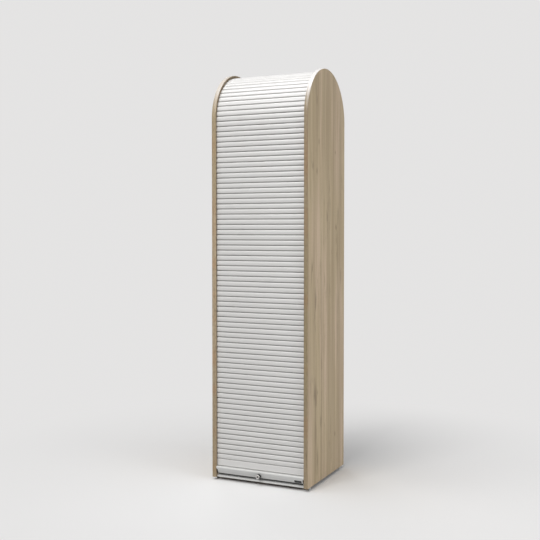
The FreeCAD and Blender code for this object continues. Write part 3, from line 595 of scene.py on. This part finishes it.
slot_materials = {
    "white_board": white_board(),
    "white_hardboard": white_hardboard(),
    "slat_plastic": slat_plastic("flat_slat_plastic", slatted=False),
    "grip_plastic": grip_plastic(),
    "glide_plastic": moulded_plastic("glide_plastic", GLIDE_GREY, 0.45),
    "chrome": lock_metal(),
    "nickel": plated_metal("nickel", NICKEL, 0.28, (0.0004, 0.004, 0.004)),
    "zinc": plated_metal("zinc", ZINC, 0.36, (0.0008, 0.0008, 0.0008)),
    "rubber": moulded_plastic("rubber", RUBBER_BLACK, 0.75),
    "beech": beech(),
}
for row in frame["record"]["subparts"]:
    if row["material_slot"] in slot_materials:
        nodes[row["node"]].data.materials[0] = slot_materials[row["material_slot"]]
nodes["lock_plug"].data.materials[0] = plug_metal()
nodes["right_side_panel"].data.materials[0] = oak_panel("oak_right", seed=15.1, way=1)
nodes["left_side_panel"].data.materials[0] = oak_panel("oak_left", seed=42.3, way=-1)


# Mesh helpers

SHARP_ANGLE = 35


def make_piece(name, points, faces, material, slot, body, *replaced):
    """A mesh that rides on a body and stands for frame nodes."""
    mesh = bpy.data.meshes.new(name)
    mesh.from_pydata(points, [], faces)
    mesh.validate()
    mesh.materials.append(material)
    piece = bpy.data.objects.new(name, mesh)
    bpy.context.scene.collection.objects.link(piece)
    mesh.shade_smooth()
    mesh.set_sharp_from_angle(angle=math.radians(SHARP_ANGLE))
    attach(piece, body)
    if replaced:
        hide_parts(*replaced)
    return piece


def point_values(piece, name, values):
    """Keeps a number or a vector for each point of a mesh, for its material."""
    vectors = isinstance(values[0], (tuple, Vector))
    kind = "FLOAT_VECTOR" if vectors else "FLOAT"
    layer = piece.data.attributes.new(name, kind, "POINT")
    flat = [part for value in values for part in value] if vectors else values
    layer.data.foreach_set("vector" if vectors else "value", flat)


def tube_faces(rings, size, closed_ends=True):
    """Faces between rings of points, and the two ends."""
    faces = []
    for ring in range(rings - 1):
        for index in range(size):
            after = (index + 1) % size
            low = ring * size
            faces.append((low + index, low + after, low + size + after, low + size + index))
    if closed_ends:
        faces.append(tuple(reversed(range(size))))
        faces.append(tuple(range((rings - 1) * size, rings * size)))
    return faces


def flipped(faces):
    return [tuple(reversed(face)) for face in faces]


def circle_through(a, b, c):
    """Centre and radius of the circle through three points."""
    (ax, ay), (bx, by), (cx, cy) = a, b, c
    area = 2 * (ax * (by - cy) + bx * (cy - ay) + cx * (ay - by))
    squares = [x * x + y * y for x, y in (a, b, c)]
    x = (squares[0] * (by - cy) + squares[1] * (cy - ay) + squares[2] * (ay - by)) / area
    y = (squares[0] * (cx - bx) + squares[1] * (ax - cx) + squares[2] * (bx - ax)) / area
    return x, y, math.hypot(ax - x, ay - y)


def arc(a, b, c, steps):
    """Points on the short arc from a through b to c."""
    x, y, reach = circle_through(a, b, c)
    first = math.atan2(a[1] - y, a[0] - x)
    sweep = math.remainder(math.atan2(c[1] - y, c[0] - x) - first, math.tau)
    turns = [first + sweep * k / steps for k in range(steps + 1)]
    return [(x + reach * math.cos(turn), y + reach * math.sin(turn)) for turn in turns]


# Tambour curtain

CROWN_STEPS = 8
SHOULDER_STEPS = 6

# Direction in which a lower shoulder bulges, as (out, up)
BULGE_OUT, BULGE_UP = 0.8, -0.6

# How far dust and painted shade reach on the slat below a joint and on the slat above it
DUST_AND_SHADE_BELOW = 0.0014
DUST_AND_SHADE_ABOVE = 0.0042

# Share of the dust and painted shade left out where a slat faces straight up, as painted light from above
TOP_LIGHT_SHARE = 0.7

curtain_plastic = slat_plastic("curtain_plastic", slatted=True)


def slat_front():
    """The front of a slat as (out, up) from its lower edge: a faint crown between round shoulders."""
    low = JOINT / 2
    edge = (SLAT_EDGE, low)
    bulge_out = (SLAT_EDGE + SLAT_FACE) / 2 + BULGE_OUT * SHOULDER_BULGE
    bulge = (bulge_out, low + SLAT_SHOULDER / 2 + BULGE_UP * SHOULDER_BULGE)
    face = (SLAT_FACE, low + SLAT_SHOULDER)
    crown = (SLAT_THICKNESS, PITCH / 2)
    lower = arc(edge, bulge, face, SHOULDER_STEPS)
    middle = arc(face, crown, (face[0], PITCH - face[1]), CROWN_STEPS)
    upper = [(out, PITCH - up) for out, up in reversed(lower)]
    return lower + middle[1:-1] + upper


def slat_section():
    """A whole slat in section: front, lap behind the next slat, back and rebate."""
    high = PITCH - JOINT / 2
    rebate_top = JOINT / 2 + LAP_HEIGHT + LAP_PLAY
    lap = [(LAP_THICKNESS, high), (LAP_THICKNESS, high + LAP_HEIGHT), (0, high + LAP_HEIGHT)]
    foot = [(0, rebate_top), (REBATE, rebate_top), (REBATE, JOINT / 2)]
    return slat_front() + lap + foot


def nearness_to_joint(out, up):
    """1 in the joints at a slat's two edges, falling to 0 on its front, sooner at the upper edge."""
    below = 1 - (PITCH - JOINT / 2 - up) / DUST_AND_SHADE_BELOW
    above = 1 - (up - JOINT / 2) / DUST_AND_SHADE_ABOVE
    return 1.0 if out < SLAT_EDGE else max(0.0, below, above)


def curtain_piece(name, stands, body, *replaced):
    """Slats at stands, each an origin with the directions out of the curtain and up along it."""
    section = slat_section()
    draw = random.Random(name)
    points = []
    faces = []
    joints = []
    lots = []
    for origin, out, up in stands:
        first = len(points)
        lot = draw.random()
        # Less dust and painted shade where the slat faces up, as painted light from above
        dust_and_shade_share = 1 - TOP_LIGHT_SHARE * max(0.0, out.z)
        for x in (-SLAT_HALF, SLAT_HALF):
            for far, high in section:
                points.append(origin + out * far + up * high + Vector((x, 0, 0)))
                joints.append(dust_and_shade_share * nearness_to_joint(far, high))
                lots.append(lot)
        faces += [tuple(first + index for index in face) for face in tube_faces(2, len(section))]
    piece = make_piece(name, points, faces, curtain_plastic, "slat_plastic", body, *replaced)
    point_values(piece, "joint", joints)
    point_values(piece, "lot", lots)
    return piece


def straight_stands(first, count):
    """Slats of the upright front, counted from the lowest."""
    heights = [CURTAIN_FOOT + n * PITCH for n in range(first, first + count)]
    return [(Vector((0, CURTAIN_BACK, height)), OUT, UP) for height in heights]


def arch_stands(straight_count):
    """The slat that turns into the bend, and those that follow the arch as chords."""
    middle = SLAT_THICKNESS / 2
    path = -CURTAIN_BACK + middle
    straight_left = SPRINGING - CURTAIN_FOOT - straight_count * PITCH
    start = (PITCH - straight_left) / path
    step = 2 * math.asin(PITCH / 2 / path)

    def on_arch(angle):
        return Vector((0, -path * math.cos(angle), SPRINGING + path * math.sin(angle)))

    spots = [Vector((0, -path, SPRINGING - straight_left)), on_arch(start)]
    for k in range(1, math.ceil((math.pi - start) / step) + 1):
        spots.append(on_arch(start + k * step))
    stands = []
    for low, high in zip(spots, spots[1:]):
        up = (high - low).normalized()
        out = Vector((0, -up.z, up.y))
        stands.append((low - out * middle, out, up))
    return stands


front_count = SLATS_IN_SECTION * SECTIONS
curtain_front = curtain_piece(
    "tambour_front",
    straight_stands(SLATS_IN_SECTION, front_count - SLATS_IN_SECTION),
    "cabinet",
    *[f"slats_{k:02d}" for k in range(1, SECTIONS)],
)
curtain_piece("tambour_foot", straight_stands(0, SLATS_IN_SECTION), "door", f"slats_{SECTIONS}")
curtain_piece("tambour_arch", arch_stands(front_count), "cabinet", "turning_slat", "arch_slats")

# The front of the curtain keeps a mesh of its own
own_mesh(curtain_front)


# Edge banding

BAND_ROUND = 0.0008
BAND_ROUND_STEPS = 3
BAND_TONGUE = 0.0004
BAND_INSET = 0.0002
ARCH_STEPS = 96


def band_section():
    """Banding in section, as (across the board, out from the board's edge)."""
    turns = [math.pi / 2 * k / BAND_ROUND_STEPS for k in range(BAND_ROUND_STEPS + 1)]
    corner = [(BAND_ROUND * (1 - math.cos(turn)), BAND_ROUND * (math.sin(turn) - 1)) for turn in turns]
    side = [(BAND_INSET, -BAND_TONGUE), (BAND_INSET, 0.0), (0.0, 0.0)]
    side += [(across, EDGE_BAND + out) for across, out in corner]
    return side + [(SIDE_BOARD - across, out) for across, out in reversed(side)]


def band_path():
    """Points of the arched outline at the board's edge with their outward directions and lengths along it."""
    reach = RADIUS - EDGE_BAND
    rows = [(Vector((0, -reach, PANEL_FOOT)), OUT, PANEL_FOOT)]
    for k in range(ARCH_STEPS + 1):
        angle = math.pi * k / ARCH_STEPS
        out = Vector((0, -math.cos(angle), math.sin(angle)))
        rows.append((Vector((0, 0, SPRINGING)) + out * reach, out, SPRINGING + RADIUS * angle))
    length = SPRINGING + RADIUS * math.pi + SPRINGING - PANEL_FOOT
    rows.append((Vector((0, reach, PANEL_FOOT)), -OUT, length))
    return rows


def band(name, side, seed, depth, painted_top_light):
    """The banding of one side panel. side is -1 on the left, and the rest as for its material."""
    points = []
    grain = []
    section = band_section()
    rows = band_path()
    for spot, out, along in rows:
        for across, far in section:
            points.append(spot + out * far + Vector((side * (PANEL_INSIDE + across), 0, 0)))
            # The third part, how much the band faces up, sets its painted light from above
            grain.append((across + far, along, max(0.0, out.z)))
    faces = tube_faces(len(rows), len(section))
    if side > 0:
        faces = flipped(faces)
    material = oak_band(f"oak_band_{name}", seed, depth, painted_top_light)
    piece = make_piece(f"{name}_banding", points, faces, material, "oak_edge", "cabinet", f"{name}_edge_band")
    point_values(piece, "grain", grain)


# The left banding is a lighter and the right a darker copy of one decor, as painted light and shade, and
# their painted top light differs
band("left", side=-1, seed=63.1, depth=(0.96, 0.965, 0.905), painted_top_light=0.52)
band("right", side=1, seed=77.7, depth=(0.72, 0.71, 0.645), painted_top_light=1.0)


# Plate on the grip

PLATE_LEFT, PLATE_RIGHT = 0.174, 0.208
PLATE_FOOT, PLATE_TOP = 0.0022, 0.0128
PLATE_THICKNESS = 0.0011
PLATE_BEVEL = 0.0005
PLATE_SUNK = 0.0002
PLATE_STEPS = 8


def blank_plate():
    """A small plain plate that lies on the rounded front of the grip."""
    centre_out, centre_up, reach = circle_through(*BAR_FRONT)

    def spot(x, up, proud):
        angle = math.asin((up - centre_up) / reach)
        out = centre_out + (reach + proud) * math.cos(angle)
        return Vector((x, CURTAIN_BACK - out, BAR_FOOT + centre_up + (reach + proud) * math.sin(angle)))

    edge = PLATE_THICKNESS - PLATE_BEVEL
    points = []
    for inset, proud in ((0, -PLATE_SUNK), (0, edge), (PLATE_BEVEL, PLATE_THICKNESS)):
        low, high = PLATE_FOOT + inset, PLATE_TOP - inset
        ups = [low + (high - low) * k / PLATE_STEPS for k in range(PLATE_STEPS + 1)]
        points += [spot(PLATE_LEFT + inset, up, proud) for up in ups]
        points += [spot(PLATE_RIGHT - inset, up, proud) for up in reversed(ups)]
    ring = 2 * (PLATE_STEPS + 1)
    rows = range(PLATE_STEPS)
    back = [(k, k + 1, ring - 2 - k, ring - 1 - k) for k in rows]
    front = [tuple(2 * ring + index for index in quad) for quad in flipped(back)]
    faces = flipped(tube_faces(3, ring, closed_ends=False)) + back + front
    material = moulded_plastic("dark_plate", PLATE_BLACK, 0.50)
    make_piece("blank_plate", points, faces, material, "zinc", "door")


blank_plate()


# Lock barrel

LOCK_SIDES = 64
LOCK_BORE = 0.00556
LOCK_FLANK = 0.0095

# The dished bezel as (depth, radius), from the bore to the flank
BEZEL = (
    (0.0012, LOCK_BORE),
    (0.0006, 0.0060),
    (0.0004, 0.0067),
    (0.0, 0.0075),
    (0.0, 0.0083),
    (0.0003, 0.0090),
    (0.0011, LOCK_FLANK),
)

# Depths of the grooves, and a groove as (depth from its start, radius)
GROOVES = (0.0034, 0.0052)
GROOVE = ((0.0, LOCK_FLANK), (0.0002, 0.0091), (0.0007, 0.0091), (0.0009, LOCK_FLANK))

# The thread: how far before the curtain's back it starts, its plain end, its pitch, its radii, and the depths
# of crest and root in each turn
THREAD_LEAD = 0.001
THREAD_END = 0.002
THREAD_PITCH = 0.001
THREAD_CREST, THREAD_ROOT, THREAD_TIP = 0.0090, 0.0085, 0.0087
CREST_DEPTH, ROOT_DEPTH = 0.0006, 0.0011


def turned_barrel():
    """The barrel with a dished bezel, two grooves and a threaded tail, as rings of (depth, radius)."""
    length = LOCK_BACK - LOCK_FRONT
    tail = CURTAIN_BACK - THREAD_LEAD - LOCK_FRONT
    rings = list(BEZEL)
    for start in GROOVES:
        rings += [(start + depth, radius) for depth, radius in GROOVE]
    rings += [(tail, LOCK_FLANK), (tail, THREAD_CREST)]
    for turn in range(int((length - tail - THREAD_END) / THREAD_PITCH)):
        start = tail + THREAD_PITCH * turn
        rings += [(start + CREST_DEPTH, THREAD_CREST), (start + ROOT_DEPTH, THREAD_ROOT)]
    rings += [(length, THREAD_TIP), (length, LOCK_BORE)]
    points = []
    for depth, radius in rings:
        for side in range(LOCK_SIDES):
            angle = math.tau * side / LOCK_SIDES
            spot = (radius * math.cos(angle), LOCK_FRONT + depth, LOCK_HEIGHT + radius * math.sin(angle))
            points.append(spot)
    # The bore joins the last ring to the first one
    faces = flipped(tube_faces(len(rings) + 1, LOCK_SIDES, closed_ends=False))
    faces = [tuple(index % len(points) for index in face) for face in faces]
    make_piece("turned_barrel", points, faces, slot_materials["chrome"], "chrome", "door", "lock_barrel")


turned_barrel()


# Seal and end shoes of the grip: black pieces as painted shade at its foot and ends, the seal also a rubber
# seal

# The seal in section, as (out from the curtain's back, up from the grip's foot), round from its root
SEAL_AND_SHADE_SECTION = (
    (0.0036, 0.0002),
    (0.0064, 0.0002),
    (0.0064, -0.0028),
    (0.0060, -0.0034),
    (0.0059, -0.0056),
    (0.0056, -0.0063),
    (0.0050, -0.0066),
    (0.0044, -0.0063),
    (0.0040, -0.0034),
    (0.0036, -0.0028),
)

# A shoe: its width and how far it passes the grip's end, its back, foot and top, how proud it is of the
# grip, and the width and depth of the chamfer that faces the side panel
SHOE_WIDTH = 0.0044
SHOE_PAST = 0.0018
SHOE_BACK = 0.0030
SHOE_FOOT = -0.0005
SHOE_TOP = 0.0190
SHOE_PROUD = 0.0004
SHOE_CHAMFER_WIDTH = 0.0004
SHOE_CHAMFER_DEPTH = 0.0006
SHOE_STEPS = 12


def seal_and_shade():
    """A black rubber strip with a soft lip hanging under the grip into the base's rebate, partly painted
    shade of the gap.
    """
    half = BAR_HALF - SHOE_WIDTH
    points = []
    for x in (-half, half):
        points += [Vector((x, CURTAIN_BACK - out, BAR_FOOT + up)) for out, up in SEAL_AND_SHADE_SECTION]
    faces = tube_faces(2, len(SEAL_AND_SHADE_SECTION))
    make_piece("grip_seal_and_shade", points, faces, slot_materials["rubber"], "rubber", "door")


def end_shade_shoe(name, side):
    """A black shoe that wraps the grip's end below its nose and faces the side panel, as painted shade of the
    gap there.
    """
    front = [(out + SHOE_PROUD, up) for out, up in arc(*BAR_FRONT, SHOE_STEPS) if up <= SHOE_TOP]
    foot = [(SHOE_BACK, SHOE_FOOT), (BAR_FRONT[0][0], SHOE_FOOT)]
    section = foot + front[1:] + [(SHOE_BACK, front[-1][1])]
    end = BAR_HALF + SHOE_PAST
    rings = ((end - SHOE_WIDTH, 0.0), (end - SHOE_CHAMFER_WIDTH, 0.0), (end, SHOE_CHAMFER_DEPTH))
    points = []
    for x, inset in rings:
        points += [Vector((side * x, CURTAIN_BACK - out + inset, BAR_FOOT + up)) for out, up in section]
    faces = tube_faces(len(rings), len(section))
    if side < 0:
        faces = flipped(faces)
    make_piece(f"end_shade_shoe_{name}", points, faces, slot_materials["rubber"], "rubber", "door")


seal_and_shade()
end_shade_shoe("left", -1)
end_shade_shoe("right", 1)


# Floor, light and camera

BACKGROUND = (0.780, 0.773, 0.770)
FLOOR = (0.93, 0.927, 0.925)
FLOOR_BOUNCE = (0.50, 0.497, 0.495)
FLOOR_REACH = 14.0
FLOOR_STEPS = 64

# Distances from the middle at which the floor starts to fade and is all background
FADE_START = 0.45
FADE_END = 1.9

AMBIENT = 0.17

CAMERA_PLACE = (1.7204, -3.7833, 1.1708)
CAMERA_TILT = 88.171
CAMERA_TURN = 25.094
SENSOR_WIDTH = 36
FOCAL_LENGTH = 58.316
SHIFT_DOWN = 0.025


def floor():
    """A pale disc that takes the cabinet's shadow and fades into the background."""
    turns = [math.tau * k / FLOOR_STEPS for k in range(FLOOR_STEPS)]
    points = [(FLOOR_REACH * math.cos(turn), FLOOR_REACH * math.sin(turn), 0) for turn in turns]
    mesh = bpy.data.meshes.new("floor")
    mesh.from_pydata(points, [], [tuple(range(FLOOR_STEPS))])
    shader = Shader("floor", FLOOR, 0.9)
    shader.set("Specular IOR Level", 0.0)
    seen = shader.seen_directly()
    shader.colour(shader.mix(seen, FLOOR_BOUNCE, FLOOR))
    far = shader.fit(shader.length(shader.place()), FADE_START, FADE_END, smooth=True)
    glow = shader.add("Emission", {0: BACKGROUND, 1: 1.0}).outputs[0]
    share = shader.math("MULTIPLY", far, seen)
    cover = shader.add("MixShader", {0: share, 1: shader.surface.outputs[0], 2: glow}).outputs[0]
    shader.feed(shader.tree.nodes["Material Output"].inputs["Surface"], cover)
    mesh.materials.append(shader.material)
    disc = bpy.data.objects.new("floor", mesh)
    bpy.context.scene.collection.objects.link(disc)


def world():
    """Even light from all round, and the plain background that the camera sees."""
    sky = bpy.data.worlds.new("studio")
    bpy.context.scene.world = sky
    sky.use_nodes = True
    studio = Nodes(sky.node_tree)
    light = studio.tree.nodes["Background"]
    studio.feed(light.inputs[0], (1, 1, 1))
    studio.feed(light.inputs[1], AMBIENT)
    backdrop = studio.add("Background", {0: BACKGROUND}).outputs[0]
    sources = {0: studio.seen_directly(), 1: light.outputs[0], 2: backdrop}
    cover = studio.add("MixShader", sources).outputs[0]
    studio.feed(studio.tree.nodes["World Output"].inputs[0], cover)


def softbox(name, place, target, size, power):
    """A lamp of a width and height in metres and a power in watts, which faces a target."""
    lamp = bpy.data.lights.new(name, "AREA")
    lamp.shape = "RECTANGLE"
    lamp.size, lamp.size_y = size
    lamp.energy = power
    item = bpy.data.objects.new(name, lamp)
    item.location = place
    item.rotation_euler = (Vector(target) - Vector(place)).to_track_quat("-Z", "Y").to_euler()
    bpy.context.scene.collection.objects.link(item)


def camera():
    """The photograph's view, with the frame moved down a little as in the photograph."""
    lens = bpy.data.cameras.new("camera")
    lens.sensor_width = SENSOR_WIDTH
    lens.lens = FOCAL_LENGTH
    lens.shift_y = -SHIFT_DOWN
    item = bpy.data.objects.new("camera", lens)
    item.location = CAMERA_PLACE
    item.rotation_euler = (math.radians(CAMERA_TILT), 0, math.radians(CAMERA_TURN))
    bpy.context.scene.collection.objects.link(item)
    bpy.context.scene.camera = item


floor()
world()
softbox("overhead", (-0.4, -1.2, 5.0), (0, -0.2, 1.0), (3.0, 2.2), 91)
softbox("front", (-1.8, -9.0, 7.2), (0, 0, 0.7), (5.0, 4.0), 448)
softbox("right", (4.0, -0.8, 1.0), (0, 0, 0.6), (2.2, 1.8), 76)
softbox("behind_left", (-3.8, 4.4, 1.5), (0, 0, 0.9), (3.0, 2.4), 110)
camera()
bpy.context.scene.view_settings.view_transform = "Standard"
